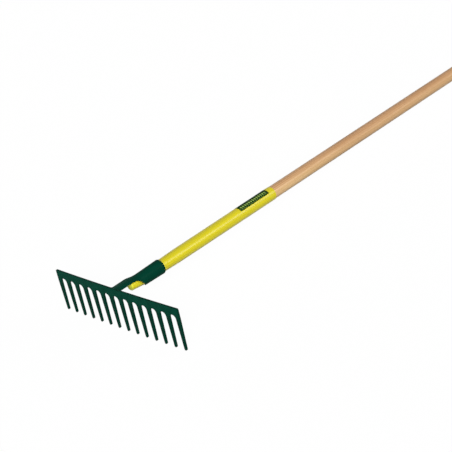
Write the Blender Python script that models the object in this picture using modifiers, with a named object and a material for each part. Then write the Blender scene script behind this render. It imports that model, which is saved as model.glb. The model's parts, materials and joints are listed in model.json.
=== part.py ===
"""Level-head garden rake, lying as it is put down: tooth tips and handle end on the ground.

The pieces are modelled in the tool's own frame: +Y runs along the handle from the comb to the butt,
+Z points up from the handle's axis to the comb's top edge, and the comb's ends stand on the plane Y = 0.
An empty then tilts that frame until the tips and the butt both touch Z = 0, with the origin at the
middle of the footprint. Lengths are in metres.
"""

import math

import bmesh
import bpy
import numpy as np

# Clearance between pieces that touch on the real tool
GAP = 0.0003

# Comb: a plate with slots cut between the teeth, bowed a little towards the front
TEETH = 14
TOOTH_PITCH = 0.0263
TOOTH_ROOT_WIDTH = 0.0100
TOOTH_TIP_WIDTH = 0.0055
COMB_HEIGHT = 0.0903
COMB_THICKNESS = 0.004
COMB_BOW = 0.0021
BAR_HEIGHT = 0.016
SLOT_CORNER_RADIUS = 0.0078
COMB_CORNER_RADIUS = 0.002

# Handle: bare radii from the tip to the grip, and the rounded ends
HANDLE_LENGTH = 1.500
HANDLE_TIP_REACH = 0.028  # tip ahead of the socket's throat
HANDLE_TIP_RADIUS = 0.0083
HANDLE_TIP_ROUND = 0.0012
HANDLE_THROAT_RADIUS = 0.0111
HANDLE_MOUTH_RADIUS = 0.0123
HANDLE_SHOULDER_RADIUS = 0.0134
HANDLE_SHOULDER_RUN = 0.045  # mouth to shoulder
HANDLE_SLEEVE_END_RADIUS = 0.0139
HANDLE_TAPER_RUN = 0.250  # sleeve's end to full thickness
HANDLE_GRIP_RADIUS = 0.0140
HANDLE_BUTT_ROUND = 0.008

# Sleeve over the handle's lower end
SLEEVE_WALL = 0.0005
SLEEVE_LENGTH = 0.4045

# Socket: sheet rolled round the handle, with a tongue that reaches the comb
SOCKET_WALL = 0.002
SOCKET_SEAM = 0.0012
SOCKET_THROAT_Y = 0.066  # behind the comb's ends, where the handle's seat begins
SOCKET_SEAT_LENGTH = 0.0530  # throat to mouth
SHOULDER_START_Y = 0.046  # behind the comb's ends, where the sheet widens from tongue to tube
SHOULDER_LENGTH = 0.0255
TONGUE_WIDTH = 0.0260
TONGUE_RADIUS = 0.042
TONGUE_LIFT = 0.0003  # tongue's crown above the tube's at the throat
TONGUE_STEP = 0.0015  # comb's top edge above the tongue's crown
TONGUE_FORMED_Y = 0.038  # behind the comb's ends, where the tongue's section ends
FORMING_LENGTH = 0.026  # from the tongue's section to the tube's

# Weld beads
UPPER_BEAD_RADIUS = 0.0009
UNDER_BEAD_RADIUS = 0.0015
BEAD_END_INSET = 0.0030

# Nail through the socket's top
NAIL_INSET = 0.0233  # ahead of the socket's mouth
NAIL_LENGTH = 0.016
NAIL_SHANK_RADIUS = 0.00125
NAIL_POINT_LENGTH = 0.003
NAIL_HEAD_RADIUS = 0.0027
NAIL_HEAD_HEIGHT = 0.0013

# Label film on the sleeve's upper side
LABEL_INSET = 0.0150  # ahead of the sleeve's open end
LABEL_LENGTH = 0.0845
LABEL_WIDTH = 0.0245
LABEL_FILM = 0.00015

# Facets
ROUND_STEPS = 40
NAIL_STEPS = 16
CORNER_STEPS = 4
TIP_STEPS = 6
TONGUE_COLUMNS = 8
SHOULDER_COLUMNS = 16
TONGUE_ROWS = 10
TUBE_ROWS = 12
BEAD_POINTS = 9
LABEL_COLUMNS = 12
LABEL_ROWS = 4
MERGE_DISTANCE = 0.000001

# Sizes that follow
COMB_WIDTH = (TEETH - 1) * TOOTH_PITCH + TOOTH_ROOT_WIDTH
HANDLE_TIP_Y = SOCKET_THROAT_Y - HANDLE_TIP_REACH
HANDLE_BUTT_Y = HANDLE_TIP_Y + HANDLE_LENGTH
SLEEVE_ADDS = GAP + SLEEVE_WALL
SLEEVE_END_Y = HANDLE_TIP_Y + SLEEVE_LENGTH
SOCKET_ADDS = SLEEVE_ADDS + GAP + SOCKET_WALL
SOCKET_MOUTH_Y = SOCKET_THROAT_Y + SOCKET_SEAT_LENGTH
TONGUE_START_Y = COMB_THICKNESS - COMB_BOW + GAP
TONGUE_CROWN = HANDLE_THROAT_RADIUS + SOCKET_ADDS + TONGUE_LIFT
COMB_RISE = TONGUE_CROWN + TONGUE_STEP  # comb's top edge above the handle's axis
NAIL_Y = SOCKET_MOUTH_Y - NAIL_INSET
LABEL_START_Y = SLEEVE_END_Y - LABEL_INSET - LABEL_LENGTH
HANDLE_STATIONS = (
    (HANDLE_TIP_Y + HANDLE_TIP_ROUND, HANDLE_TIP_RADIUS),
    (SOCKET_THROAT_Y, HANDLE_THROAT_RADIUS),
    (SOCKET_MOUTH_Y, HANDLE_MOUTH_RADIUS),
    (SOCKET_MOUTH_Y + HANDLE_SHOULDER_RUN, HANDLE_SHOULDER_RADIUS),
    (SLEEVE_END_Y, HANDLE_SLEEVE_END_RADIUS),
    (SLEEVE_END_Y + HANDLE_TAPER_RUN, HANDLE_GRIP_RADIUS),
)


def clear_scene():
    for obj in list(bpy.data.objects):
        bpy.data.objects.remove(obj, do_unlink=True)


def new_collection(name):
    collection = bpy.data.collections.new(name)
    bpy.context.scene.collection.children.link(collection)
    return collection


def new_material(name, colour, roughness, metallic=0.0, coat=0.0):
    material = bpy.data.materials.new(name)
    material.use_nodes = True
    shader = material.node_tree.nodes["Principled BSDF"]
    shader.inputs["Base Color"].default_value = (*colour, 1.0)
    shader.inputs["Roughness"].default_value = roughness
    shader.inputs["Metallic"].default_value = metallic
    shader.inputs["Coat Weight"].default_value = coat
    return material


def new_object(name, data, collection, parent=None, material=None):
    obj = bpy.data.objects.new(name, data)
    collection.objects.link(obj)
    obj.parent = parent
    if material is not None:
        data.materials.append(material)
    return obj


def shade_round(obj, angle_deg=35):
    obj.data.shade_smooth()
    obj.data.set_sharp_from_angle(angle=math.radians(angle_deg))


def mesh_of_curve(obj):
    """The curve object's solid as a mesh with its caps welded on. The curve goes away."""
    bpy.context.view_layer.update()
    graph = bpy.context.evaluated_depsgraph_get()
    mesh = bpy.data.meshes.new_from_object(obj.evaluated_get(graph))
    cage = bmesh.new()
    cage.from_mesh(mesh)
    bmesh.ops.remove_doubles(cage, verts=cage.verts, dist=MERGE_DISTANCE)
    cage.to_mesh(mesh)
    cage.free()
    bpy.data.objects.remove(obj, do_unlink=True)
    return mesh


def arc(centre, radius, start_deg, end_deg, steps):
    """Points on an arc, both ends included."""
    angles = np.radians(np.linspace(start_deg, end_deg, steps + 1))
    return [(centre[0] + radius * math.cos(a), centre[1] + radius * math.sin(a)) for a in angles]


def turned(name, profile, collection, parent, material, steps=ROUND_STEPS):
    """A solid turned about the handle's axis. profile holds (radius, y) from the butt's side down."""
    mesh = bpy.data.meshes.new(name)
    edges = [(i, i + 1) for i in range(len(profile) - 1)]
    mesh.from_pydata([(radius, 0.0, y) for radius, y in profile], edges, [])
    obj = new_object(name, mesh, collection, parent, material)
    obj.rotation_euler.x = -math.pi / 2
    screw = obj.modifiers.new("turn", "SCREW")
    screw.steps = steps
    screw.render_steps = steps
    screw.use_merge_vertices = True
    screw.merge_threshold = MERGE_DISTANCE
    screw.use_smooth_shade = True
    return obj


def cut(obj, cutter):
    boolean = obj.modifiers.new("nail_hole", "BOOLEAN")
    boolean.operation = "DIFFERENCE"
    boolean.object = cutter
    boolean.solver = "EXACT"


# Comb


def bow_at(x):
    """How far the comb stands forward of its ends at x."""
    return COMB_BOW * (1.0 - (2.0 * x / COMB_WIDTH) ** 2)


def tooth_centre(index):
    return (index - (TEETH - 1) / 2.0) * TOOTH_PITCH


def comb_outline():
    """The flat comb seen from the front, as (x, z) with z above the handle's axis, counter-clockwise."""
    top = COMB_RISE
    root = TOOTH_ROOT_WIDTH / 2.0
    slot_corner = min(SLOT_CORNER_RADIUS, TOOTH_PITCH / 2.0 - root - GAP)
    side_top = top - BAR_HEIGHT - slot_corner
    tip_radius = TOOTH_TIP_WIDTH / 2.0
    tip_centre = top - COMB_HEIGHT + tip_radius
    corner = COMB_CORNER_RADIUS
    half = COMB_WIDTH / 2.0
    points = []
    for index in range(TEETH):
        x = tooth_centre(index)
        points.append((x - root, side_top))
        points += arc((x, tip_centre), tip_radius, 180, 360, TIP_STEPS)
        points.append((x + root, side_top))
        if index == TEETH - 1:
            break
        left = x + root + slot_corner
        right = x + TOOTH_PITCH - root - slot_corner
        points += arc((left, side_top), slot_corner, 180, 90, CORNER_STEPS)[1:]
        points += arc((right, side_top), slot_corner, 90, 0, CORNER_STEPS)[:-1]
    points += arc((half - corner, top - corner), corner, 0, 90, CORNER_STEPS)
    points += arc((corner - half, top - corner), corner, 90, 180, CORNER_STEPS)
    return points


def bow_plate(mesh):
    """Bends the flat plate: it is scored across at each tooth and slot, and its points then move forward."""
    cage = bmesh.new()
    cage.from_mesh(mesh)
    for step in range(2 * TEETH - 1):
        everything = cage.verts[:] + cage.edges[:] + cage.faces[:]
        place = (tooth_centre(step / 2.0), 0.0, 0.0)
        bmesh.ops.bisect_plane(
            cage, geom=everything, dist=MERGE_DISTANCE, plane_co=place, plane_no=(1.0, 0.0, 0.0)
        )
    for vertex in cage.verts:
        vertex.co.z += bow_at(vertex.co.x)
    cage.to_mesh(mesh)
    cage.free()


def make_comb(collection, parent, material):
    curve = bpy.data.curves.new("comb_outline", "CURVE")
    curve.dimensions = "2D"
    curve.fill_mode = "BOTH"
    curve.extrude = COMB_THICKNESS / 2.0
    points = comb_outline()
    spline = curve.splines.new("POLY")
    spline.points.add(len(points) - 1)
    for point, (x, z) in zip(spline.points, points):
        point.co = (x, z, 0.0, 1.0)
    spline.use_cyclic_u = True
    flat = new_object("comb_outline", curve, collection)
    mesh = mesh_of_curve(flat)
    mesh.name = "comb"
    bow_plate(mesh)
    comb = new_object("comb", mesh, collection, parent, material)
    comb.rotation_euler.x = math.pi / 2
    comb.location.y = COMB_THICKNESS / 2.0
    return comb


# Socket


def blend(y, start, end):
    """0 up to start, 1 from end on, and smooth between."""
    t = min(max((y - start) / (end - start), 0.0), 1.0)
    return t * t * (3.0 - 2.0 * t)


def socket_radius(y):
    """The tube's outer radius: a cone that follows the handle's seat."""
    taper = (HANDLE_MOUTH_RADIUS - HANDLE_THROAT_RADIUS) / SOCKET_SEAT_LENGTH
    return HANDLE_THROAT_RADIUS + SOCKET_ADDS + taper * (y - SOCKET_THROAT_Y)


def socket_section(y):
    """(radius, crown height) of the sheet's outer side at y: nearly flat at the comb, round on the handle."""
    share = blend(y, TONGUE_FORMED_Y, TONGUE_FORMED_Y + FORMING_LENGTH)
    tube = socket_radius(y)
    radius = 1.0 / ((1.0 - share) / TONGUE_RADIUS + share / tube)
    return radius, (1.0 - share) * TONGUE_CROWN + share * tube


def on_sheet(y, along):
    """The point of the sheet's outer side at y, along metres round from the crown."""
    radius, crown = socket_section(y)
    angle = along / radius
    return (radius * math.sin(angle), y, crown - radius + radius * math.cos(angle))


def sheet_columns():
    """(share of the tongue's half width, share of the shoulder) for each column, from seam to seam."""
    shoulder = [step / SHOULDER_COLUMNS for step in range(1, SHOULDER_COLUMNS + 1)]
    tongue = np.linspace(-1.0, 1.0, TONGUE_COLUMNS + 1)
    left = [(-1.0, -share) for share in reversed(shoulder)]
    right = [(1.0, share) for share in shoulder]
    return left + [(share, 0.0) for share in tongue] + right


def sheet_point(y, tongue, shoulder):
    """The shoulder's edge is a parabola in the flat blank, so its columns lie at squares of their share."""
    half = TONGUE_WIDTH / 2.0
    wrap = math.pi * socket_radius(y) - SOCKET_SEAM / 2.0 - half
    return on_sheet(y, tongue * half + math.copysign(shoulder * shoulder * wrap, shoulder))


def add_rows(cage, rows):
    for lower, upper in zip(rows, rows[1:]):
        for k in range(len(lower) - 1):
            cage.faces.new((lower[k], upper[k], upper[k + 1], lower[k + 1]))


def make_socket(collection, parent, material):
    cage = bmesh.new()
    columns = sheet_columns()
    tube = []
    for share in np.linspace(0.0, 1.0, TUBE_ROWS + 1):
        row = []
        for tongue, shoulder in columns:
            start = SHOULDER_START_Y + abs(shoulder) * SHOULDER_LENGTH
            y = start + share * (SOCKET_MOUTH_Y - start)
            row.append(cage.verts.new(sheet_point(y, tongue, shoulder)))
        tube.append(row)
    inner = slice(SHOULDER_COLUMNS, SHOULDER_COLUMNS + TONGUE_COLUMNS + 1)
    neck = []
    for y in np.linspace(TONGUE_START_Y, SHOULDER_START_Y, TONGUE_ROWS + 1)[:-1]:
        neck.append([cage.verts.new(sheet_point(y, tongue, 0.0)) for tongue, _ in columns[inner]])
    add_rows(cage, neck + [tube[0][inner]])
    add_rows(cage, tube)
    bmesh.ops.recalc_face_normals(cage, faces=cage.faces)
    if cage.faces[0].normal.z < 0:
        bmesh.ops.reverse_faces(cage, faces=cage.faces)
    mesh = bpy.data.meshes.new("socket")
    cage.to_mesh(mesh)
    cage.free()
    socket = new_object("socket", mesh, collection, parent, material)
    shade_round(socket)
    wall = socket.modifiers.new("wall", "SOLIDIFY")
    wall.thickness = SOCKET_WALL
    wall.offset = -1.0
    wall.use_even_offset = True
    return socket


def make_bead(name, bead_radius, side, collection, parent, material):
    """A weld bead along the tongue's end. side is 1 on top of the sheet and -1 below it."""
    away = GAP + bead_radius
    offset = away if side > 0 else -(SOCKET_WALL + away)
    radius, crown = socket_section(TONGUE_START_Y)
    reach = (TONGUE_WIDTH / 2.0 - BEAD_END_INSET) / radius
    curve = bpy.data.curves.new(name, "CURVE")
    curve.dimensions = "3D"
    curve.bevel_depth = bead_radius
    curve.bevel_resolution = 2
    curve.use_fill_caps = True
    spline = curve.splines.new("POLY")
    spline.points.add(BEAD_POINTS - 1)
    for point, angle in zip(spline.points, np.linspace(-reach, reach, BEAD_POINTS)):
        x = (radius + offset) * math.sin(angle)
        z = crown - radius + (radius + offset) * math.cos(angle)
        back = COMB_THICKNESS - bow_at(x)
        point.co = (x, back + away, z, 1.0)
    mesh = mesh_of_curve(new_object(name, curve, collection))
    bead = new_object(name, mesh, collection, parent, material)
    shade_round(bead)
    return bead


# Nail


def nail_profile(shank_radius, top):
    """(radius, height) of the shank and its point, with height measured up from the nail's tip."""
    return [(shank_radius, top), (shank_radius, NAIL_POINT_LENGTH), (0.0, 0.0)]


def nail_seat():
    """Height above the handle's axis of the nail head's underside."""
    return socket_radius(NAIL_Y) + GAP


def make_nail(collection, parent, material):
    dome_radius = (NAIL_HEAD_RADIUS**2 + NAIL_HEAD_HEIGHT**2) / (2.0 * NAIL_HEAD_HEIGHT)
    reach = math.degrees(math.asin(NAIL_HEAD_RADIUS / dome_radius))
    centre = (0.0, NAIL_LENGTH + NAIL_HEAD_HEIGHT - dome_radius)
    head = arc(centre, dome_radius, 90, 90 - reach, TIP_STEPS)
    profile = head + nail_profile(NAIL_SHANK_RADIUS, NAIL_LENGTH)
    nail = turned("socket_nail", profile, collection, parent, material, NAIL_STEPS)
    nail.rotation_euler.x = 0.0
    nail.location = (0.0, NAIL_Y, nail_seat() - NAIL_LENGTH)
    return nail


def make_nail_cutter(collection, parent):
    """The nail's hole: its shank with clearance all round, and long enough to leave the socket."""
    top = NAIL_LENGTH + SOCKET_WALL
    profile = [(0.0, top)] + nail_profile(NAIL_SHANK_RADIUS + GAP, top)
    cutter = turned("nail_cutter", profile, collection, parent, None, NAIL_STEPS)
    cutter.rotation_euler.x = 0.0
    cutter.location = (0.0, NAIL_Y, nail_seat() - NAIL_LENGTH - 2.0 * GAP)
    cutter.hide_render = True
    cutter.display_type = "WIRE"
    return cutter


# Handle, sleeve and label


def handle_radius(y):
    places, radii = zip(*HANDLE_STATIONS)
    return float(np.interp(y, places, radii))


def make_handle(collection, parent, material):
    butt_flat = HANDLE_GRIP_RADIUS - HANDLE_BUTT_ROUND
    profile = [(0.0, HANDLE_BUTT_Y)]
    profile += arc((butt_flat, HANDLE_BUTT_Y - HANDLE_BUTT_ROUND), HANDLE_BUTT_ROUND, 90, 0, TIP_STEPS)
    profile += [(radius, y) for y, radius in reversed(HANDLE_STATIONS)]
    tip_flat = HANDLE_TIP_RADIUS - HANDLE_TIP_ROUND
    profile += arc((tip_flat, HANDLE_TIP_Y + HANDLE_TIP_ROUND), HANDLE_TIP_ROUND, 0, -90, CORNER_STEPS)[1:]
    profile.append((0.0, HANDLE_TIP_Y))
    return turned("handle", profile, collection, parent, material)


def sleeve_side(out):
    """(radius, y) along one side of the sleeve, out metres outside the wood, from its open end to its tip."""
    places = [y for y, _ in HANDLE_STATIONS if y <= SLEEVE_END_Y]
    side = [(handle_radius(y) + out, y) for y in reversed(places)]
    tip_flat = HANDLE_TIP_RADIUS - HANDLE_TIP_ROUND
    centre = (tip_flat, HANDLE_TIP_Y + HANDLE_TIP_ROUND)
    side += arc(centre, HANDLE_TIP_ROUND + out, 0, -90, CORNER_STEPS)[1:]
    return side + [(0.0, HANDLE_TIP_Y - out)]


def make_sleeve(collection, parent, material):
    profile = sleeve_side(GAP)[::-1] + sleeve_side(SLEEVE_ADDS)
    return turned("handle_sleeve", profile, collection, parent, material)


def make_label(collection, parent, material):
    cage = bmesh.new()
    bmesh.ops.create_grid(cage, x_segments=LABEL_COLUMNS, y_segments=LABEL_ROWS, size=0.5)
    for vertex in cage.verts:
        y = LABEL_START_Y + (vertex.co.y + 0.5) * LABEL_LENGTH
        radius = handle_radius(y) + SLEEVE_ADDS + GAP
        angle = vertex.co.x * LABEL_WIDTH / radius
        vertex.co = (radius * math.sin(angle), y, radius * math.cos(angle))
    mesh = bpy.data.meshes.new("handle_label")
    cage.to_mesh(mesh)
    cage.free()
    label = new_object("handle_label", mesh, collection, parent, material)
    shade_round(label)
    film = label.modifiers.new("film", "SOLIDIFY")
    film.thickness = LABEL_FILM
    film.offset = 1.0
    return label


# Rest pose


def rest_pose():
    """(tilt, shift in Y, lift in Z) that lays the tips and the butt on Z = 0, centred on the footprint."""
    tip_z = COMB_RISE - COMB_HEIGHT
    heel_y = COMB_THICKNESS - bow_at(tooth_centre(0))
    butt_y = HANDLE_BUTT_Y - HANDLE_BUTT_ROUND
    butt_z = HANDLE_BUTT_ROUND - HANDLE_GRIP_RADIUS
    run = butt_y - heel_y
    drop = butt_z - tip_z
    tilt = math.atan2(drop, run) - math.asin(HANDLE_BUTT_ROUND / math.hypot(run, drop))
    lift = heel_y * math.sin(tilt) - tip_z * math.cos(tilt)
    front_y = -bow_at(tooth_centre(TEETH // 2)) * math.cos(tilt) + tip_z * math.sin(tilt)
    back_y = butt_y * math.cos(tilt) - butt_z * math.sin(tilt) + HANDLE_BUTT_ROUND
    return tilt, -(front_y + back_y) / 2.0, lift


def main():
    clear_scene()
    rake = new_collection("garden_rake")
    cutters = new_collection("cutters")
    cutters.hide_render = True
    frame = new_object("rake_frame", None, rake)
    tilt, shift, lift = rest_pose()
    frame.rotation_euler.x = -tilt
    frame.location = (0.0, shift, lift)

    paint = new_material("green_paint", (0.010, 0.075, 0.045), 0.35, coat=0.3)
    socket_paint = new_material("socket_paint", (0.008, 0.065, 0.040), 0.35, coat=0.3)
    weld_paint = new_material("weld_paint", (0.009, 0.068, 0.042), 0.40)
    nail_paint = new_material("nail_paint", (0.020, 0.090, 0.060), 0.30)
    wood = new_material("handle_wood", (0.60, 0.36, 0.19), 0.45)
    plastic = new_material("yellow_plastic", (0.78, 0.62, 0.03), 0.25, coat=0.5)
    film = new_material("label_film", (0.015, 0.090, 0.020), 0.30)

    make_comb(rake, frame, paint)
    socket = make_socket(rake, frame, socket_paint)
    make_bead("weld_upper", UPPER_BEAD_RADIUS, 1, rake, frame, weld_paint)
    make_bead("weld_under", UNDER_BEAD_RADIUS, -1, rake, frame, weld_paint)
    make_nail(rake, frame, nail_paint)
    handle = make_handle(rake, frame, wood)
    sleeve = make_sleeve(rake, frame, plastic)
    make_label(rake, frame, film)

    nail_cutter = make_nail_cutter(cutters, frame)
    for pierced in (socket, sleeve, handle):
        cut(pierced, nail_cutter)


main()
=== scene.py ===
import json
import math

import bmesh
import bpy
import numpy as np
from bpy.props import FloatProperty, FloatVectorProperty, IntProperty, PointerProperty
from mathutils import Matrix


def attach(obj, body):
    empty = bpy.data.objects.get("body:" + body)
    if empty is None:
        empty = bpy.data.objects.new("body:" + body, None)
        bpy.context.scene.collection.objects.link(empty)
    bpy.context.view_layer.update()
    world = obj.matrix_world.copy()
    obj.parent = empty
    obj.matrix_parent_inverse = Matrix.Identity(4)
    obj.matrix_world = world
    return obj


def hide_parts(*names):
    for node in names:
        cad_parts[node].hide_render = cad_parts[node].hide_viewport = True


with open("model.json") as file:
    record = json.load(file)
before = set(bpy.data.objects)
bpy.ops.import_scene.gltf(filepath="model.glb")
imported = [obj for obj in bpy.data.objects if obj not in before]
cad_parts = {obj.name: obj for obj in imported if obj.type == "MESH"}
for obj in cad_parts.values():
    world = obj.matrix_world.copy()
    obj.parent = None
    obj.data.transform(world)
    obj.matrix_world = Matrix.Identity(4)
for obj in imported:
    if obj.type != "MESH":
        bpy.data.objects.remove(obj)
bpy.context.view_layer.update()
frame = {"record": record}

bl_info = {
    "name": "Garden rake looks",
    "version": (1, 0, 0),
    "blender": (4, 5, 0),
    "location": "3D View > Sidebar > Rake",
    "description": "Finished surfaces of a level-head garden rake with a sleeved wooden handle",
    "category": "Object",
}

MERGE_DISTANCE = 0.000001
SHARP_DEG = 40  # edges of turned pieces that bend more than this stay crisp
ROUND_STEPS = 80  # facets round the handle and the sleeve
NAIL_STEPS = 32  # facets round the nail
LIP_ROW = 0.008  # a row of the sleeve's mesh past its swelling, behind the socket's mouth
FLOOR_REACH = 6.0  # half the floor's side
FLOOR_SEEN = 0.5  # how much of its grey the floor keeps where it is seen


# Settings


def length(name, description, default):
    return FloatProperty(name=name, description=description, default=default, unit="LENGTH", precision=5)


def colour(name, description, default):
    return FloatVectorProperty(
        name=name, description=description, default=default, subtype="COLOR", size=3, min=0.0, max=1.0
    )


def share(name, description, default):
    return FloatProperty(
        name=name, description=description, default=default, subtype="FACTOR", min=0.0, max=1.0
    )


class CombSettings(bpy.types.PropertyGroup):
    teeth: IntProperty(name="Teeth", description="Teeth along the comb", default=14, min=2)
    pitch: length("Pitch", "From one tooth's centre to the next", 0.0263)
    root_width: length("Root width", "Width of a tooth where it leaves the bar", 0.0100)
    tip_width: length("Tip width", "Width of a tooth at its rounded tip", 0.0055)
    height: length("Height", "Top edge of the bar to the tips", 0.0903)
    thickness: length("Thickness", "Thickness of the plate", 0.004)
    bow: length("Bow", "How far the middle stands forward of the ends", 0.0021)
    bar_height: length("Bar height", "Top edge of the bar to the top of a slot", 0.016)
    slot_radius: length("Slot radius", "Rounding at the top of a slot", 0.0078)
    corner_radius: length("Corner radius", "Rounding of the bar's top corners", 0.002)
    edge_radius: length("Edge radius", "Rounding of the plate's edges under the paint", 0.0005)
    rise: length("Rise", "Top edge of the bar above the handle's axis", 0.016)


class SocketSettings(bpy.types.PropertyGroup):
    wall: length("Wall", "Thickness of the sheet", 0.002)
    seam: length("Seam", "Gap where the sheet's edges meet under the handle", 0.0012)
    throat: length("Throat", "Start of the handle's seat, behind the comb's ends", 0.066)
    seat_length: length("Seat length", "Throat to mouth", 0.0530)
    shoulder: length("Shoulder", "Where the sheet begins to widen, behind the comb's ends", 0.046)
    shoulder_length: length("Shoulder length", "Length over which the sheet widens", 0.0255)
    throat_radius: length("Throat radius", "Outer radius of the tube at its throat", 0.0142)
    mouth_radius: length("Mouth radius", "Outer radius of the tube at its mouth", 0.0154)
    tongue_width: length("Tongue width", "Width of the tongue round its curve", 0.026)
    tongue_radius: length("Tongue radius", "Radius of the tongue's curved section", 0.042)
    tongue_crown: length("Tongue crown", "Height of the tongue's crown above the axis", 0.0145)
    tongue_start: length("Tongue start", "Where the tongue meets the comb's back", 0.0022)
    forming_start: length("Forming start", "Where the tongue's section begins to close", 0.038)
    forming_length: length("Forming length", "From the tongue's section to the tube's", 0.026)
    edge_radius: length("Edge radius", "Rounding of the sheet's edges", 0.0003)
    bead_radius: length("Bead radius", "Half thickness of a weld bead", 0.0015)
    bead_inset: length("Bead inset", "Tongue's edge to the end of a bead", 0.0005)
    bead_ripples: IntProperty(name="Bead ripples", description="Ripples along a weld bead", default=11)
    bead_ripple: share("Bead ripple", "Height of a ripple as a share of the bead's radius", 0.10)
    nail_inset: length("Nail inset", "Nail ahead of the socket's mouth", 0.0233)
    nail_head: length("Nail head", "Radius of the nail's head", 0.0027)
    nail_dome: length("Nail dome", "Height of the nail's head", 0.0013)
    nail_rim: length("Nail rim", "Height of the head's edge below its dome", 0.0003)
    nail_shank: length("Nail shank", "Radius of the nail's shank", 0.001215)
    nail_depth: length("Nail depth", "Dome's foot to the end of the full shank", 0.0130)
    nail_point: length("Nail point", "Dome's foot to the nail's point", 0.0160)


class HandleSettings(bpy.types.PropertyGroup):
    handle_length: length("Length", "Tip to butt", 1.5)
    tip: length("Tip", "Tip behind the comb's ends", 0.038)
    tip_radius: length("Tip radius", "Wood's radius at the tip", 0.0083)
    tip_round: length("Tip round", "Rounding of the tip", 0.0012)
    throat_radius: length("Throat radius", "Wood's radius at the socket's throat", 0.0111)
    mouth_radius: length("Mouth radius", "Wood's radius at the socket's mouth", 0.0123)
    shoulder_radius: length("Shoulder radius", "Wood's radius past the socket", 0.0134)
    shoulder_run: length("Shoulder run", "Mouth to shoulder", 0.045)
    sleeve_radius: length("Sleeve end radius", "Wood's radius where the sleeve ends", 0.0139)
    taper_run: length("Taper run", "Sleeve's end to full thickness", 0.25)
    grip_radius: length("Grip radius", "Full thickness's radius", 0.0140)
    butt_round: length("Butt round", "Rounding of the upper end", 0.008)
    sleeve_length: length("Sleeve length", "Length of the plastic sleeve", 0.4045)
    sleeve_wall: length("Sleeve wall", "Thickness of the plastic sleeve", 0.0005)
    clearance: length("Clearance", "Air between the wood and the sleeve", 0.0003)
    lip_height: length("Lip height", "Swelling of the sleeve at the socket's mouth", 0.0004)
    lip_run: length("Lip run", "Length of that swelling", 0.003)
    label_inset: length("Label inset", "Label ahead of the sleeve's end", 0.015)
    label_length: length("Label length", "Length of the label", 0.0845)
    label_width: length("Label width", "Width of the label round the sleeve", 0.0245)
    label_film: length("Label film", "Thickness of the label", 0.00015)
    label_lift: length("Label lift", "Air between the sleeve and the label", 0.00003)


class MarkSettings(bpy.types.PropertyGroup):
    border_side: length("Border side", "Label's long edge to the middle of the border line", 0.0022)
    border_end: length("Border end", "Label's short edge to the middle of the border line", 0.0024)
    border_half: length("Border half", "Half the border line's width", 0.0004)
    row_place: share("Row place", "Place of the row of lozenges across the label", 0.69)
    row_end: length("Row end", "Label's short edge to the end of the row", 0.0043)
    half_pitch: length("Half pitch", "Half the distance between two lozenges", 0.0029)
    half_length: length("Half length", "Half a lozenge along the label", 0.0025)
    half_width: length("Half width", "Half a lozenge across the label", 0.0042)


class FinishSettings(bpy.types.PropertyGroup):
    paint: colour("Paint", "Green of the bar", (0.002, 0.078, 0.046))
    # Painted shade: the deeper green on the teeth, the plate's sides and the socket, where shade falls
    paint_in_shade: colour("Deep paint", "Green of the teeth, the edges and the socket", (0.001, 0.026, 0.014))
    plastic: colour("Plastic", "Yellow of the sleeve", (0.79, 0.685, 0.013))
    # Painted light: the paler yellow of the sleeve's lit tip and of the highlight behind the socket's mouth
    plastic_painted_light: colour("Pale plastic", "Plastic where it is folded or stretched", (0.97, 0.95, 0.07))
    wood_light: colour("Light wood", "Wood between the grain lines", (0.80, 0.495, 0.27))
    wood_dark: colour("Dark wood", "Grain lines", (0.56, 0.300, 0.130))
    # Painted light: the paler wood colour on the handle's lit lower side
    lit_side_wood: colour("Sapwood", "Paler wood along one side", (0.88, 0.62, 0.30))
    wood_upper: colour("Upper wood", "Wood of the handle's upper part", (0.50, 0.26, 0.12))
    wood_pore: colour("Pores", "Short flecks in the wood", (0.30, 0.15, 0.07))
    label: colour("Label", "Green of the label", (0.005, 0.034, 0.003))
    label_mark: colour("Label marks", "Pale marks on the label", (0.30, 0.46, 0.11))


class StageSettings(bpy.types.PropertyGroup):
    camera_place: FloatVectorProperty(
        name="Camera", description="Place of the camera", default=(2.02717, -2.10211, 1.42145),
        subtype="TRANSLATION", size=3, precision=5,
    )
    camera_turn: FloatVectorProperty(
        name="Camera turn", description="Turn of the camera", subtype="EULER", size=3, precision=6,
        default=(math.radians(61.5224), math.radians(13.4474), math.radians(43.8368)),
    )
    focal_length: FloatProperty(
        name="Focal length", description="For a 36 mm sensor", default=116.52, unit="CAMERA", min=1.0
    )
    key_from: FloatVectorProperty(
        name="Key from", description="Direction to the key lamp in the tool's own frame",
        default=(0.63, -0.64, 0.43), subtype="DIRECTION", size=3,
    )
    key_power: FloatProperty(name="Key power", description="Strength of the key lamp", default=2.7, min=0.0)
    side_from: FloatVectorProperty(
        name="Side from", description="Direction to the side lamp in the tool's own frame",
        default=(0.72, 0.56, 0.41), subtype="DIRECTION", size=3,
    )
    side_power: FloatProperty(
        name="Side power", description="Strength of the side lamp", default=1.05, min=0.0
    )
    left_from: FloatVectorProperty(
        name="Left from", description="Direction to the weak lamp on the left in the tool's own frame",
        default=(-0.97, 0.15, 0.08), subtype="DIRECTION", size=3,
    )
    left_power: FloatProperty(
        name="Left power", description="Strength of the lamp on the left", default=1.25, min=0.0
    )
    lamp_size: FloatProperty(
        name="Lamp size", description="Angle that each lamp fills", default=math.radians(22),
        subtype="ANGLE", min=0.0,
    )
    ambient: share("Ambient", "Level of the surrounding light", 0.05)
    floor_glow: share("Floor glow", "White that the floor keeps in the shade", 0.97)
    floor_colour: share("Floor colour", "Grey level of the floor as lit", 0.09)


# The tool's own frame: +Y runs from the comb's ends to the butt, Z = 0 on the handle's axis


def mount(name):
    return next(entry for entry in frame["record"]["mounts"] if entry["name"] == name)


BUTT = mount("handle_butt")
TILT = math.atan2(-BUTT["axis"][2], BUTT["axis"][1])


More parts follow.
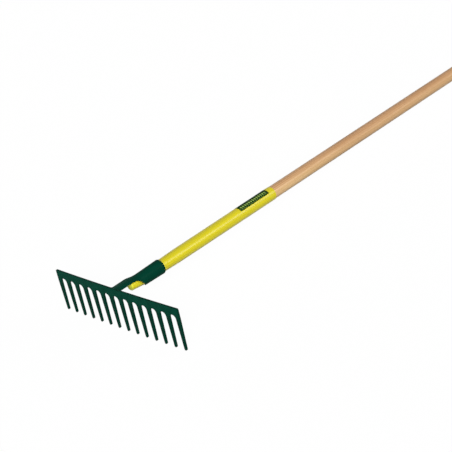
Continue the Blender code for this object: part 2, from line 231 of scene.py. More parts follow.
def frame_origin(handle):
    """Place of the tool frame's origin: the handle's butt moved back along its axis to the comb's ends."""
    axis = np.array(BUTT["axis"])
    return np.array(BUTT["pos_m"]) - axis * (handle.tip + handle.handle_length)


def placed(points, handle):
    """Points of the tool's own frame turned down by the tilt and moved to the frame's origin."""
    x, y, z = np.moveaxis(np.asarray(points, float), -1, 0)
    along = y * math.cos(TILT) + z * math.sin(TILT)
    up = z * math.cos(TILT) - y * math.sin(TILT)
    return np.stack([x, along, up], -1) + frame_origin(handle)


# Meshes


def grid_faces(rows, columns, wrap=False):
    """Quads of a grid whose points run row by row. With wrap, the last column joins the first."""
    row = np.arange(rows - 1)[:, None]
    column = np.arange(columns if wrap else columns - 1)[None, :]
    after = (column + 1) % columns
    near, far = row * columns, (row + 1) * columns
    return np.stack([near + column, near + after, far + after, far + column], -1).reshape(-1, 4).tolist()


def new_piece(name, points, faces, sharp_deg=None, flat_from=None):
    """A mesh object with its doubles merged. Faces from flat_from on are flat, and the others are smooth."""
    mesh = bpy.data.meshes.new(name)
    mesh.from_pydata(np.asarray(points, float).reshape(-1, 3).tolist(), [], faces)
    smooth = np.ones(len(faces), bool)
    smooth[len(faces) if flat_from is None else flat_from:] = False
    mesh.polygons.foreach_set("use_smooth", smooth)
    cage = bmesh.new()
    cage.from_mesh(mesh)
    bmesh.ops.remove_doubles(cage, verts=cage.verts, dist=MERGE_DISTANCE)
    cage.to_mesh(mesh)
    cage.free()
    if sharp_deg is not None:
        mesh.set_sharp_from_angle(angle=math.radians(sharp_deg))
    obj = bpy.data.objects.new(name, mesh)
    bpy.context.scene.collection.objects.link(obj)
    return obj


def turn_outwards(obj):
    """Recalculates the normals of a closed mesh."""
    cage = bmesh.new()
    cage.from_mesh(obj.data)
    bmesh.ops.recalc_face_normals(cage, faces=cage.faces)
    cage.to_mesh(obj.data)
    cage.free()


def round_piece(name, points, handle, sharp_deg=None):
    """A closed mesh from rows of points in the tool's own frame, each row running round the piece."""
    piece = new_piece(name, placed(points, handle), grid_faces(*points.shape[:2], wrap=True), sharp_deg)
    turn_outwards(piece)
    return piece


def dress(obj, material, node):
    """Gives a finished piece its material, lets it ride on the rake and hides the solid it stands for."""
    obj.data.materials.append(material)
    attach(obj, "root")
    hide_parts(node)


def arc(centre, radius, start_deg, end_deg, steps):
    """Points on an arc: the centre plus radius times the cosine and sine of evenly spaced angles."""
    angles = np.radians(np.linspace(start_deg, end_deg, steps + 1))
    return np.stack([centre[0] + radius * np.cos(angles), centre[1] + radius * np.sin(angles)], -1)


def turned(profile, steps):
    """A profile of (radius, height) carried round an axis: (radius cos a, height, radius sin a)."""
    angles = np.linspace(0.0, 2.0 * math.pi, steps, endpoint=False)
    radius, height = np.asarray(profile, float).T
    x = radius[:, None] * np.cos(angles)
    z = radius[:, None] * np.sin(angles)
    return np.stack([x, np.broadcast_to(height[:, None], x.shape), z], -1)


# Materials


class Value:
    """An output socket in a material. An expression on values adds its Math nodes."""

    def __init__(self, nodes, socket):
        self.nodes = nodes
        self.socket = socket

    def math(self, operation, first, second):
        return self.nodes.add("Math", {"operation": operation}, {0: first, 1: second})

    def __add__(self, other):
        return self.math("ADD", self, other)

    def __sub__(self, other):
        return self.math("SUBTRACT", self, other)

    def __mul__(self, other):
        return self.math("MULTIPLY", self, other)

    def __truediv__(self, other):
        return self.math("DIVIDE", self, other)

    def __pow__(self, other):
        return self.math("POWER", self, other)

    def __rsub__(self, other):
        return self.math("SUBTRACT", other, self)

    def __abs__(self):
        return self.nodes.add("Math", {"operation": "ABSOLUTE"}, {0: self})

    __radd__ = __add__
    __rmul__ = __mul__


class Nodes:
    """The node tree of one material, built by calls that return values."""

    def __init__(self, tree):
        self.tree = tree
        self.tree.nodes.clear()

    def add(self, kind, settings=None, inputs=None, output=0):
        """A node of that kind: its settings first, then values or links on its sockets. Returns an output."""
        node = self.tree.nodes.new("ShaderNode" + kind)
        for name, value in (settings or {}).items():
            setattr(node, name, value)
        for key, value in (inputs or {}).items():
            if isinstance(value, Value):
                self.tree.links.new(value.socket, node.inputs[key])
            else:
                node.inputs[key].default_value = value
        return Value(self, node.outputs[output]) if node.outputs else node

    def blend(self, factor, first, second):
        """The first colour where the factor is 0 and the second where it is 1."""
        return self.add("Mix", {"data_type": "RGBA"}, {0: factor, 6: first, 7: second}, 2)

    def between(self, value, low, high):
        """0 at low, 1 at high, and smooth between."""
        settings = {"interpolation_type": "SMOOTHSTEP"}
        return self.add("MapRange", settings, {"Value": value, "From Min": low, "From Max": high})

    def largest(self, first, second):
        return self.add("Math", {"operation": "MAXIMUM"}, {0: first, 1: second})

    def noise(self, place, scale, detail=3.0, roughness=0.5):
        inputs = {"Vector": place, "Scale": scale, "Detail": detail, "Roughness": roughness}
        return self.add("TexNoise", None, inputs)

    def stretched(self, place, scale):
        """The place with each axis multiplied by its own scale."""
        return self.add("Mapping", None, {"Vector": place, "Scale": scale})

    def axes(self, place):
        """(x, y, z) of a place."""
        separate = self.add("SeparateXYZ", None, {0: place}).socket.node
        return [Value(self, output) for output in separate.outputs]

    def bump(self, height, depth, distance):
        return self.add("Bump", None, {"Height": height, "Strength": depth, "Distance": distance})

    def surface(self, settings):
        """Principled shader on the material's output."""
        shader = self.add("BsdfPrincipled", None, settings)
        self.add("OutputMaterial", None, {"Surface": shader})


def new_material(name):
    material = bpy.data.materials.new(name)
    material.use_nodes = True
    return material, Nodes(material.node_tree)


def tool_place(nodes, handle):
    """The point in the tool's own frame, in metres: the object's place turned back up by the tilt."""
    origin = frame_origin(handle)
    y = origin[1] * math.cos(TILT) - origin[2] * math.sin(TILT)
    z = origin[1] * math.sin(TILT) + origin[2] * math.cos(TILT)
    place = nodes.add("TexCoord", None, None, "Object")
    inputs = {"Vector": place, "Rotation": (TILT, 0.0, 0.0), "Location": (0.0, -y, -z)}
    return nodes.add("Mapping", None, inputs)


def rgba(values, level=1.0):
    """A colour for a shader's socket, with its light brought to a level."""
    return (*(value * level for value in values), 1.0)


# Densities of the patterns across, along and up the tool, per metre
PAINT_RUNS = (85.0, 30.0, 85.0)
DRAW_LINES = (420.0, 6.0, 420.0)
RING_WANDER = (60.0, 3.5, 60.0)
FIBRES = (700.0, 9.0, 700.0)
PATCHES = (30.0, 5.0, 30.0)
PORES = (1500.0, 130.0, 1500.0)
PAINT_PEEL = 900.0
PAINT_CLOUDS = 60.0

# Growth rings: the (x, z) of their centre, their radians per metre and how far the wander bends them
PITH = (-0.060, 0.035)
RING_TURN = 1700.0
RING_BEND = 22.0

LIT_SIDE_DIRECTION = (0.54, -0.84)  # direction (x, z) of the handle's lit lower side, where painted light turns the wood paler
LIT_SIDE_HALF = 0.008  # half the width over which it does
UPPER_WOOD = (0.48, 0.72)  # places along the handle between which the wood takes its upper colour

# Where painted light and painted shade fade, each as the far and the near end from its edge
TIP_LIGHT_FADE = (0.0012, 0.0002)  # painted light behind the handle's tip, where the sleeve's end is lit
LIP_HIGHLIGHT_FADE = (0.0035, 0.0012)  # painted highlight on the sleeve behind the socket's mouth
LIP_HIGHLIGHT_START = 0.002  # start of that painted highlight, ahead of the mouth
MOUTH_SHADE_FADE = (0.006, 0.001)  # painted shade ahead of the mouth, on the socket
TEETH_SHADE_FADE = (0.004, 0.018)  # painted shade on the teeth, above and below the tops of the slots
MARK_FADE = 0.0002  # width of a soft edge on the label


def green_paint(name, scene, painted_shade=None):
    """Dark green stoving paint with a faint orange peel. An optional function of (nodes, place) says where
    painted shade darkens it.
    """
    material, nodes = new_material(name)
    place = tool_place(nodes, scene.rake_handle)
    finish = scene.rake_finish
    runs = nodes.noise(nodes.stretched(place, PAINT_RUNS), 1.0)
    tint = nodes.blend(nodes.between(runs, 0.35, 0.68), rgba(finish.paint), rgba(finish.paint, 0.78))
    if painted_shade is not None:
        # Painted shade: the deeper green goes where the given function says shade falls
        tint = nodes.blend(painted_shade(nodes, place), tint, rgba(finish.paint_in_shade))
    peel = nodes.noise(place, PAINT_PEEL, 2.0)
    nodes.surface({
        "Base Color": tint,
        "Roughness": nodes.noise(place, PAINT_CLOUDS) * 0.16 + 0.34,
        "Specular IOR Level": 0.012,
        "Normal": nodes.bump(peel, 0.10, 0.0002),
    })
    return material


def sleeve_plastic(scene):
    """Yellow film with faint draw lines, paler at the tip and just behind the socket's mouth: painted light
    on the lit tip and a painted highlight at the mouth.
    """
    material, nodes = new_material("yellow_sleeve")
    place = tool_place(nodes, scene.rake_handle)
    finish = scene.rake_finish
    tip = scene.rake_handle.tip
    mouth = scene.rake_socket.throat + scene.rake_socket.seat_length
    along = nodes.axes(place)[1]
    # Painted highlight: lip is 1 on the sleeve just behind the socket's mouth
    lip = nodes.between(along, mouth + LIP_HIGHLIGHT_FADE[0], mouth + LIP_HIGHLIGHT_FADE[1])
    lip = lip * nodes.between(along, mouth - LIP_HIGHLIGHT_START, mouth)
    # Painted light: 1 where the sleeve's end at the tip is lit
    tip_light = nodes.between(along, tip + TIP_LIGHT_FADE[0], tip + TIP_LIGHT_FADE[1])
    lines = nodes.noise(nodes.stretched(place, DRAW_LINES), 1.0)
    tone = nodes.blend(nodes.between(lines, 0.35, 0.75), rgba(finish.plastic), rgba(finish.plastic, 0.88))
    # Painted light: the lit tip and the highlight behind the mouth turn paler yellow
    tint = nodes.blend(lip + tip_light, tone, rgba(finish.plastic_painted_light))
    nodes.surface({
        "Base Color": tint,
        "Roughness": lines * 0.08 + 0.26,
        "Specular IOR Level": 0.26,
        "Normal": nodes.bump(lines, 0.08, 0.0003),
    })
    return material


def handle_wood(scene):
    """Turned hardwood: growth rings about a centre beside the handle, fine fibres along it, short pores."""
    material, nodes = new_material("handle_wood")
    place = tool_place(nodes, scene.rake_handle)
    finish = scene.rake_finish
    wander = nodes.noise(nodes.stretched(place, RING_WANDER), 1.0)
    x, y, z = nodes.axes(place)
    from_x, from_z = x - PITH[0], z - PITH[1]
    reach = (from_x * from_x + from_z * from_z) ** 0.5
    turn = reach * RING_TURN + wander * RING_BEND
    rings = nodes.add("Math", {"operation": "SINE"}, {0: turn}) * 0.5 + 0.5
    fibres = nodes.noise(nodes.stretched(place, FIBRES), 1.0, 4.0, 0.6)
    patches = nodes.noise(nodes.stretched(place, PATCHES), 1.0, 2.0)
    pores = nodes.noise(nodes.stretched(place, PORES), 1.0, 1.0)
    grain = nodes.between(rings * 0.24 + fibres * 0.85 + patches * 0.40, 0.45, 0.98)
    tone = nodes.blend(grain, rgba(finish.wood_light), rgba(finish.wood_dark))
    # Painted light: the handle's lit lower side is blended towards a paler wood
    side = x * LIT_SIDE_DIRECTION[0] + z * LIT_SIDE_DIRECTION[1]
    lit_side_wood = nodes.between(side, -LIT_SIDE_HALF, LIT_SIDE_HALF) * 0.55
    tone = nodes.blend(lit_side_wood, tone, rgba(finish.lit_side_wood))
    tone = nodes.blend(nodes.between(y, *UPPER_WOOD) * 0.42, tone, rgba(finish.wood_upper))
    fleck = nodes.between(pores, 0.66, 0.74) * 0.40
    nodes.surface({
        "Base Color": nodes.blend(fleck, tone, rgba(finish.wood_pore)),
        "Roughness": fibres * 0.16 + 0.32,
        "Specular IOR Level": 0.18,
        "Normal": nodes.bump(fibres - fleck, 0.20, 0.0003),
    })
    return material


def border_line(nodes, edge, middle, half):
    """1 on the line whose middle has that distance from the label's centre, and 1 inside its outer side."""
    line = nodes.between(abs(edge - middle), half + MARK_FADE / 2, half - MARK_FADE / 2)
    inside = nodes.between(edge, middle + half + MARK_FADE, middle + half)
    return line, inside


def label_film(scene):
    """Green film with a pale border line and a row of plain lozenges, drawn on the label's own UV map."""
    material, nodes = new_material("label_film")
    finish = scene.rake_finish
    handle = scene.rake_handle
    mark = scene.rake_marks
    side, end = handle.label_width / 2, handle.label_length / 2
    across, along, _ = nodes.axes(nodes.add("UVMap", {"uv_map": "label"}))
    edge_x = abs(across - 0.5) * handle.label_width
    edge_y = abs(along - 0.5) * handle.label_length
    line_x, inside_x = border_line(nodes, edge_x, side - mark.border_side, mark.border_half)
    line_y, inside_y = border_line(nodes, edge_y, end - mark.border_end, mark.border_half)
    border = nodes.largest(line_x * inside_y, line_y * inside_x)
    cell = nodes.add("Math", {"operation": "PINGPONG"}, {0: edge_y, 1: mark.half_pitch})
    from_row = abs(across - mark.row_place) * handle.label_width
    lozenge = nodes.between(cell / mark.half_length + from_row / mark.half_width, 1.0, 0.94)
    row = nodes.between(edge_y, end - mark.row_end, end - mark.row_end - 1.5 * MARK_FADE)
    marks = nodes.largest(border * 0.5, lozenge * row)
    nodes.surface({
        "Base Color": nodes.blend(marks, rgba(finish.label), rgba(finish.label_mark)),
        "Roughness": 0.38,
        "Specular IOR Level": 0.015,
    })
    return material


# Comb


def comb_outline(comb):
    """Closed outline of the flat comb as (x, z), and its index at each tooth's and slot's centre line.

    One half profile runs from a tip's lowest point up the tooth's side and round to the slot's centre.
    It is mirrored and repeated at each pitch, and the bar's ends and top edge close it.
    """
    root = comb.root_width / 2
    tip = comb.tip_width / 2
    tip_height = comb.rise - comb.height + tip
    side_top = comb.rise - comb.bar_height - comb.slot_radius
    half = np.concatenate([
        arc((0.0, tip_height), tip, -90, 0, 6),
        arc((root + comb.slot_radius, side_top), comb.slot_radius, 180, 90, 10),
        [(comb.pitch / 2, comb.rise - comb.bar_height)],
    ])
    mirrored = half[-2:0:-1] * (-1, 1) + (comb.pitch, 0.0)
    cell = np.concatenate([half, mirrored])
    first = -(comb.teeth - 1) / 2 * comb.pitch
    starts = first + comb.pitch * np.arange(comb.teeth - 1)
    bottom = (cell[None] + np.stack([starts, 0 * starts], -1)[:, None]).reshape(-1, 2)
    edge = -first + root
    corner = comb.corner_radius
    right = np.concatenate([
        arc((-first, tip_height), tip, -90, 0, 6),
        [(edge, side_top)],
        arc((edge - corner, comb.rise - corner), corner, 0, 90, 6),
    ])
    centres = first + comb.pitch / 2 * np.arange(2 * comb.teeth - 1)
    top = np.stack([centres[::-1], np.full(len(centres), comb.rise)], -1)
    left = right[:0:-1] * (-1, 1)
    outline = np.concatenate([bottom, right, top, left])
    tips = np.arange(comb.teeth - 1) * len(cell)
    low = np.append(np.stack([tips, tips + len(half) - 1], -1), len(bottom))
    high = len(bottom) + len(right) + np.arange(len(centres))[::-1]
    return outline, low, high


def outward_mitres(outline):
    """Outward normals of a closed outline, lengthened so that an inset keeps its width at a bend."""
    ahead = np.roll(outline, -1, 0) - outline
    ahead /= np.linalg.norm(ahead, axis=1, keepdims=True)
    after = np.stack([ahead[:, 1], -ahead[:, 0]], -1)
    before = np.roll(after, 1, 0)
    return (before + after) / (1.0 + (before * after).sum(1, keepdims=True))


def comb_surface(comb):
    """A rounded edge profile of (inset, depth) carried along the outline; flat cells close both faces.

    The plate bows forward by the bow times 1 - u squared, with u from -1 to 1 along its width.
    """
    outline, low, high = comb_outline(comb)
    mitres = outward_mitres(outline)
    bend = np.radians(np.linspace(0, 90, 5))
    inset = comb.edge_radius * (1 - np.sin(bend))
    depth = comb.edge_radius * (1 - np.cos(bend))
    inset = np.concatenate([inset, inset[::-1]])
    depth = np.concatenate([depth, comb.thickness - depth[::-1]])
    flat = outline[None] - inset[:, None, None] * mitres[None]
    width = (comb.teeth - 1) * comb.pitch + comb.root_width
    bow = comb.bow * (1 - (2 * flat[..., 0] / width) ** 2)
    points = np.stack([flat[..., 0], depth[:, None] - bow, flat[..., 1]], -1)
    count = len(outline)
    rim = grid_faces(len(inset), count, wrap=True)
    ring = list(range(count))
    cells = [ring[high[0]:] + [ring[0]], ring[low[-1]:high[-1] + 1]]
    for k in range(len(low) - 1):
        cells.append(ring[low[k]:low[k + 1] + 1] + ring[high[k + 1]:high[k] + 1])
    last = (len(inset) - 1) * count
    back = [[last + index for index in reversed(cell)] for cell in cells]
    edge = np.repeat(1 - inset / comb.edge_radius, count)
    return points, rim, cells + back, edge


class RAKE_OT_comb(bpy.types.Operator):
    """Makes the painted comb with its rounded edges"""

    bl_idname = "rake.comb"
    bl_label = "Make comb"

    def execute(self, context):
        scene = context.scene
        comb = scene.rake_comb
        points, rim, flats, edge = comb_surface(comb)
        piece = new_piece("rake_comb", placed(points, scene.rake_handle), rim + flats, flat_from=len(rim))
        if len(piece.data.vertices) != len(edge):
            raise RuntimeError("The comb's outline crosses itself")
        turn_outwards(piece)
        # The edge attribute is 1 on the plate's sides, the top edge and the teeth's sides, where painted
        # shade darkens the paint
        piece.data.attributes.new("edge", "FLOAT", "POINT").data.foreach_set("value", edge.astype(np.float32))
        slot_top = comb.rise - comb.bar_height

        # Painted shade: the teeth below the tops of the slots and the plate's sides are darkened where shade
        # falls on them
        def painted_shade(nodes, place):
            height = nodes.axes(place)[2]
            teeth = nodes.between(height, slot_top + TEETH_SHADE_FADE[0], slot_top - TEETH_SHADE_FADE[1])
            edge_shade = nodes.add("Attribute", {"attribute_name": "edge"}, None, "Fac")
            return nodes.largest(teeth * 0.6, edge_shade * 0.8)

        dress(piece, green_paint("comb_paint", scene, painted_shade), "comb")
        return {"FINISHED"}


# Socket, welds and nail


def tube_radius(socket, y):
    """Outer radius of the tube at y: a straight taper from throat to mouth, and on ahead of the throat."""
    slope = (socket.mouth_radius - socket.throat_radius) / socket.seat_length
    return socket.throat_radius + slope * (y - socket.throat)


def sheet_section(socket, y):
    """(radius, crown height) of the sheet at y: both pass smoothly from the tongue's to the tube's."""
    t = np.clip((y - socket.forming_start) / socket.forming_length, 0.0, 1.0)
    closed = t * t * (3 - 2 * t)
    tube = tube_radius(socket, y)
    radius = 1 / ((1 - closed) / socket.tongue_radius + closed / tube)
    return radius, (1 - closed) * socket.tongue_crown + closed * tube


def sheet_surface(socket, columns=61):
    """The sheet's outer side: at each y an arc of the section's radius, as wide as the flat blank is there.

    The blank is the tongue's width, widens along a parabola at the shoulder, and then wraps to the seam.
    """
    shoulder_end = socket.shoulder + socket.shoulder_length
    mouth = socket.throat + socket.seat_length
    y = np.concatenate([
        np.linspace(socket.tongue_start, socket.shoulder, 18)[:-1],
        np.linspace(socket.shoulder, shoulder_end, 22)[:-1],
        np.linspace(shoulder_end, mouth, 24),
    ])[:, None]
    radius, crown = sheet_section(socket, y)
    half = socket.tongue_width / 2
    wrapped = math.pi * tube_radius(socket, y) - socket.seam / 2 - half
    widened = np.clip((y - socket.shoulder) / socket.shoulder_length, 0.0, 1.0) ** 2
    reach = np.linspace(-1.0, 1.0, columns)[None, :] * (half + widened * wrapped)
    angle = reach / radius
    x = radius * np.sin(angle)
    z = crown - radius + radius * np.cos(angle)
    return np.stack([x, np.broadcast_to(y, x.shape), z], -1)


def finish_sheet(obj, wall, edge):
    """Gives a one-sided sheet its wall inwards and rounds the wall's edges."""
    solid = obj.modifiers.new("wall", "SOLIDIFY")
    solid.thickness = wall
    solid.offset = -1.0
    solid.use_even_offset = True
    bevel = obj.modifiers.new("edges", "BEVEL")
    bevel.width = edge
    bevel.segments = 2
    bevel.limit_method = "ANGLE"
    bevel.angle_limit = math.radians(50)
    bevel.harden_normals = True


class RAKE_OT_socket(bpy.types.Operator):
    """Makes the rolled sheet socket with its tongue"""

    bl_idname = "rake.socket"
    bl_label = "Make socket"

    def execute(self, context):
        scene = context.scene
        socket = scene.rake_socket
        points = sheet_surface(socket)
        faces = grid_faces(*points.shape[:2])
        piece = new_piece("rake_socket", placed(points, scene.rake_handle), faces)
        finish_sheet(piece, socket.wall, socket.edge_radius)
        mouth = socket.throat + socket.seat_length

        # Painted shade: the socket's green is darkened throughout and more so just ahead of its mouth
        def painted_shade(nodes, place):
            along = nodes.axes(place)[1]
            return nodes.between(along, mouth - MOUTH_SHADE_FADE[0], mouth - MOUTH_SHADE_FADE[1]) * 0.4 + 0.4

        dress(piece, green_paint("socket_paint", scene, painted_shade), "socket")
        return {"FINISHED"}


def bead_surface(socket, comb, side, rings=67, steps=16):
    """A weld bead: a circle carried along the tongue's end on the comb's back.

    Its radius ripples as a cosine and shrinks to nothing at the ends as the square root of 1 - u to the
    sixth, with u from -1 to 1 along the bead.
    """
    t = np.linspace(0.0, 1.0, rings)
    radius, crown = sheet_section(socket, np.array(socket.tongue_start))
    ends = np.sqrt(np.clip(1 - (2 * t - 1) ** 6, 0.0, 1.0))
    ripple = 1 + socket.bead_ripple * np.cos(2 * math.pi * socket.bead_ripples * t)
    thick = socket.bead_radius * ends * ripple
    above, off = 0.35 * socket.bead_radius, 0.6 * socket.bead_radius
    offset = above if side > 0 else -socket.wall - off
    angle = (2 * t - 1) * (socket.tongue_width / 2 - socket.bead_inset) / radius
    x = (radius + offset) * np.sin(angle)
    z = crown - radius + (radius + offset) * np.cos(angle)
    width = (comb.teeth - 1) * comb.pitch + comb.root_width
    back = comb.thickness - comb.bow * (1 - (2 * x / width) ** 2)
    around = np.linspace(0.0, 2 * math.pi, steps, endpoint=False)
    y = (back + off)[:, None] + thick[:, None] * np.cos(around)
    up = thick[:, None] * np.sin(around)
    x = x[:, None] + up * np.sin(angle)[:, None]
    z = z[:, None] + up * np.cos(angle)[:, None]
    return np.stack([x, y, z], -1)


class RAKE_OT_welds(bpy.types.Operator):
    """Makes the two weld beads between comb and tongue"""

    bl_idname = "rake.welds"
    bl_label = "Make weld beads"

    def execute(self, context):
        scene = context.scene
        paint = green_paint("weld_paint", scene)
        for name, side, node in (("weld_bead_upper", 1, "weld_upper"), ("weld_bead_under", -1, "weld_under")):
            points = bead_surface(scene.rake_socket, scene.rake_comb, side)
            dress(round_piece(name, points, scene.rake_handle), paint, node)
        return {"FINISHED"}


class RAKE_OT_nail(bpy.types.Operator):
    """Makes the nail that holds the socket on the handle"""

    bl_idname = "rake.nail"
    bl_label = "Make nail"

    def execute(self, context):
        scene = context.scene
        socket = scene.rake_socket
        y = socket.throat + socket.seat_length - socket.nail_inset
        seat = float(tube_radius(socket, y))
        dome = (socket.nail_head ** 2 + socket.nail_dome ** 2) / (2 * socket.nail_dome)
        reach = math.degrees(math.asin(socket.nail_head / dome))
        profile = np.concatenate([
            arc((0.0, socket.nail_dome - dome), dome, 90, 90 - reach, 10),
            [(socket.nail_head, -socket.nail_rim), (socket.nail_shank, -socket.nail_rim)],
            [(socket.nail_shank, -socket.nail_depth), (0.0, -socket.nail_point)],
        ])
        x, up, z = np.moveaxis(turned(profile, NAIL_STEPS), -1, 0)
        points = np.stack([x, y + z, seat + socket.nail_rim + up], -1)
        piece = round_piece("socket_nail_head", points, scene.rake_handle, SHARP_DEG)
        dress(piece, green_paint("nail_paint", scene), "socket_nail")
        return {"FINISHED"}


# Handle, sleeve and label


def handle_stations(handle, socket):
    """(places along Y, wood's radii) from the tip to full thickness."""
    mouth = socket.throat + socket.seat_length
    end = handle.tip + handle.sleeve_length
    places = [
        handle.tip + handle.tip_round, socket.throat, mouth,
        mouth + handle.shoulder_run, end, end + handle.taper_run,
    ]
    radii = [
        handle.tip_radius, handle.throat_radius, handle.mouth_radius,
        handle.shoulder_radius, handle.sleeve_radius, handle.grip_radius,
    ]
    return np.array(places), np.array(radii)


def shaft_side(handle, socket, y, out):
    """(radius, y) at out metres outside the wood: straight tapers between the stations."""
    places, radii = handle_stations(handle, socket)
    return np.stack([np.interp(y, places, radii) + out, y], -1)


def tip_round(handle, out):
    """(radius, y) round the tip's edge and in to the axis, out metres outside the wood."""
    centre = (handle.tip_radius - handle.tip_round, handle.tip + handle.tip_round)
    bend = arc(centre, handle.tip_round + out, 0, -90, 8)[1:]
    return np.concatenate([bend, [(0.0, handle.tip - out)]])


class RAKE_OT_handle(bpy.types.Operator):
    """Makes the turned wooden handle"""

    bl_idname = "rake.handle"
    bl_label = "Make handle"

    def execute(self, context):
        scene = context.scene
        handle = scene.rake_handle
        places, _ = handle_stations(handle, scene.rake_socket)
        butt = handle.tip + handle.handle_length
        flat = handle.grip_radius - handle.butt_round
        y = np.concatenate([np.linspace(butt - handle.butt_round, places[-1], 12), places[-2::-1]])
        profile = np.concatenate([
            [(0.0, butt)],
            arc((flat, butt - handle.butt_round), handle.butt_round, 90, 0, 12),
            shaft_side(handle, scene.rake_socket, y[1:], 0.0),
            tip_round(handle, 0.0),
        ])
        piece = round_piece("wooden_handle", turned(profile, ROUND_STEPS), handle, SHARP_DEG)
        dress(piece, handle_wood(scene), "handle")
        return {"FINISHED"}


class RAKE_OT_sleeve(bpy.types.Operator):
    """Makes the plastic sleeve over the handle's lower end"""

    bl_idname = "rake.sleeve"
    bl_label = "Make sleeve"

    def execute(self, context):
        scene = context.scene
        handle = scene.rake_handle
        socket = scene.rake_socket
        mouth = socket.throat + socket.seat_length
        end = handle.tip + handle.sleeve_length
        places, _ = handle_stations(handle, socket)
        lip = np.linspace(mouth + handle.lip_run, mouth, 13)
        y = np.concatenate([np.linspace(end, places[3], 20), [mouth + LIP_ROW], lip, places[1::-1]])
        outer = shaft_side(handle, socket, y, handle.clearance + handle.sleeve_wall)
        swell = np.clip(1 - np.abs(y - mouth - handle.lip_run / 2) / (handle.lip_run / 2), 0.0, 1.0)
        outer[:, 0] += handle.lip_height * np.sin(swell * math.pi / 2)
        inner = shaft_side(handle, socket, y, handle.clearance)[::-1]
        outer_tip = tip_round(handle, handle.clearance + handle.sleeve_wall)
        inner_tip = tip_round(handle, handle.clearance)[::-1]
        profile = np.concatenate([inner_tip, inner, outer, outer_tip])
        piece = round_piece("plastic_sleeve", turned(profile, ROUND_STEPS), handle, SHARP_DEG)
        dress(piece, sleeve_plastic(scene), "handle_sleeve")
        return {"FINISHED"}


class RAKE_OT_label(bpy.types.Operator):
    """Makes the label film on the sleeve's upper side"""

    bl_idname = "rake.label"
    bl_label = "Make label"

    def execute(self, context):
        scene = context.scene
        handle = scene.rake_handle
        end = handle.tip + handle.sleeve_length - handle.label_inset
        rows, columns = 9, 25
        v, u = np.meshgrid(np.linspace(0, 1, rows), np.linspace(0, 1, columns), indexing="ij")
        y = end - handle.label_length * (1 - v)
        out = handle.clearance + handle.sleeve_wall + handle.label_lift
        radius = shaft_side(handle, scene.rake_socket, y.ravel(), out)[:, 0].reshape(y.shape)
        angle = (u - 0.5) * handle.label_width / radius
        points = np.stack([radius * np.sin(angle), y, radius * np.cos(angle)], -1)
        piece = new_piece("blank_label", placed(points, handle), grid_faces(rows, columns))
        corners = np.array([loop.vertex_index for loop in piece.data.loops])
        uv = np.stack([u.ravel(), v.ravel()], -1)[corners]
        piece.data.uv_layers.new(name="label").data.foreach_set("uv", uv.astype(np.float32).ravel())
        film = piece.modifiers.new("film", "SOLIDIFY")
        film.thickness = handle.label_film
        film.offset = 1.0
        dress(piece, label_film(scene), "handle_label")
        return {"FINISHED"}


# Stage


def seen_rays(nodes):
    """1 for rays from the camera, a reflection or through glass, and 0 for light."""
    path = nodes.add("LightPath").socket.node
    camera, glossy, through = (
        Value(nodes, path.outputs[name]) for name in ("Is Camera Ray", "Is Glossy Ray", "Is Transmission Ray")
    )
    return nodes.largest(nodes.largest(camera, glossy), through)


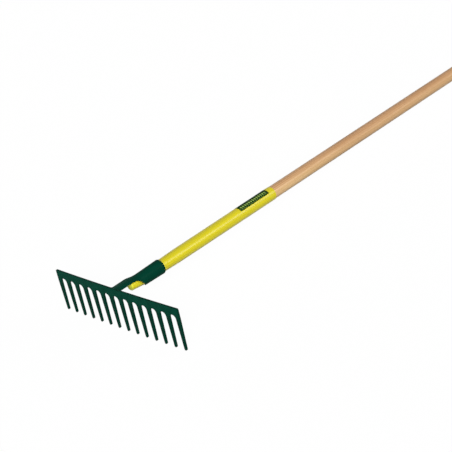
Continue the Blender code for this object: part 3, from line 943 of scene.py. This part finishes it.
class RAKE_OT_stage(bpy.types.Operator):
    """Makes the floor, the lamps, the surrounding light and the camera"""

    bl_idname = "rake.stage"
    bl_label = "Make stage"

    def execute(self, context):
        scene = context.scene
        stage = scene.rake_stage
        self.make_floor(stage)
        self.make_world(scene, stage)
        for name in ("key", "side", "left"):
            source = np.array(getattr(stage, name + "_from")[:])
            direction = placed(source, scene.rake_handle) - frame_origin(scene.rake_handle)
            self.make_lamp(name, direction, getattr(stage, name + "_power"), stage.lamp_size)
        self.make_camera(scene, stage)
        scene.view_settings.view_transform = "Standard"
        return {"FINISHED"}

    def make_floor(self, stage):
        square = FLOOR_REACH * np.array([(-1, -1, 0), (1, -1, 0), (1, 1, 0), (-1, 1, 0)])
        floor = new_piece("floor", square, [(0, 1, 2, 3)])
        material, nodes = new_material("pale_floor")
        grey = (stage.floor_colour,) * 3
        plain = nodes.add("BsdfDiffuse", None, {"Color": rgba(grey)})
        tinted = nodes.add("BsdfDiffuse", None, {"Color": rgba(grey, FLOOR_SEEN)})
        glow = nodes.add("Emission", None, {"Color": (1, 1, 1, 1), "Strength": stage.floor_glow})
        seen = nodes.add("AddShader", None, {0: tinted, 1: glow})
        mixed = nodes.add("MixShader", None, {0: seen_rays(nodes), 1: plain, 2: seen})
        nodes.add("OutputMaterial", None, {"Surface": mixed})
        floor.data.materials.append(material)

    def make_world(self, scene, stage):
        world = bpy.data.worlds.new("studio")
        world.use_nodes = True
        nodes = Nodes(world.node_tree)
        light = rgba((stage.ambient,) * 3)
        tint = nodes.blend(seen_rays(nodes), light, (1, 1, 1, 1))
        background = nodes.add("Background", None, {"Color": tint, "Strength": 1.0})
        nodes.add("OutputWorld", None, {"Surface": background})
        scene.world = world

    def make_lamp(self, name, direction, power, size):
        """A sun lamp that shines from that direction."""
        lamp = bpy.data.lights.new(name, "SUN")
        lamp.energy = power
        lamp.angle = size
        obj = bpy.data.objects.new(name, lamp)
        bpy.context.scene.collection.objects.link(obj)
        flat = math.hypot(direction[0], direction[1])
        obj.rotation_euler = (math.atan2(flat, direction[2]), 0.0, math.atan2(direction[0], -direction[1]))

    def make_camera(self, scene, stage):
        camera = bpy.data.cameras.new("camera")
        camera.sensor_width = 36.0
        camera.lens = stage.focal_length
        camera.clip_end = 50.0
        obj = bpy.data.objects.new("camera", camera)
        scene.collection.objects.link(obj)
        obj.location = stage.camera_place
        obj.rotation_euler = stage.camera_turn
        scene.camera = obj


# Add-on


class RAKE_PT_sidebar(bpy.types.Panel):
    """Lists the rake's pieces and their settings"""

    bl_label = "Garden rake"
    bl_idname = "RAKE_PT_sidebar"
    bl_space_type = "VIEW_3D"
    bl_region_type = "UI"
    bl_category = "Rake"

    def draw(self, context):
        for title, group, operators in SECTIONS:
            settings = getattr(context.scene, group)
            box = self.layout.box()
            box.label(text=title)
            for operator in operators:
                box.operator(operator.bl_idname)
            for name in settings.__annotations__:
                box.prop(settings, name)


SECTIONS = (
    ("Comb", "rake_comb", (RAKE_OT_comb,)),
    ("Socket", "rake_socket", (RAKE_OT_socket, RAKE_OT_welds, RAKE_OT_nail)),
    ("Handle", "rake_handle", (RAKE_OT_handle, RAKE_OT_sleeve, RAKE_OT_label)),
    ("Finish", "rake_finish", ()),
    ("Label marks", "rake_marks", ()),
    ("Stage", "rake_stage", (RAKE_OT_stage,)),
)
GROUPS = {
    "rake_comb": CombSettings,
    "rake_socket": SocketSettings,
    "rake_handle": HandleSettings,
    "rake_finish": FinishSettings,
    "rake_marks": MarkSettings,
    "rake_stage": StageSettings,
}
OPERATORS = [operator for _, _, operators in SECTIONS for operator in operators]
CLASSES = [*GROUPS.values(), *OPERATORS, RAKE_PT_sidebar]


def register():
    for item in CLASSES:
        bpy.utils.register_class(item)
    for name, group in GROUPS.items():
        setattr(bpy.types.Scene, name, PointerProperty(type=group))


def unregister():
    for name in GROUPS:
        delattr(bpy.types.Scene, name)
    for item in reversed(CLASSES):
        bpy.utils.unregister_class(item)


def main():
    register()
    for operator in OPERATORS:
        group, name = operator.bl_idname.split(".")
        if getattr(getattr(bpy.ops, group), name)() != {"FINISHED"}:
            raise RuntimeError(operator.bl_idname + " didn't finish")


if __name__ == "__main__":
    main()
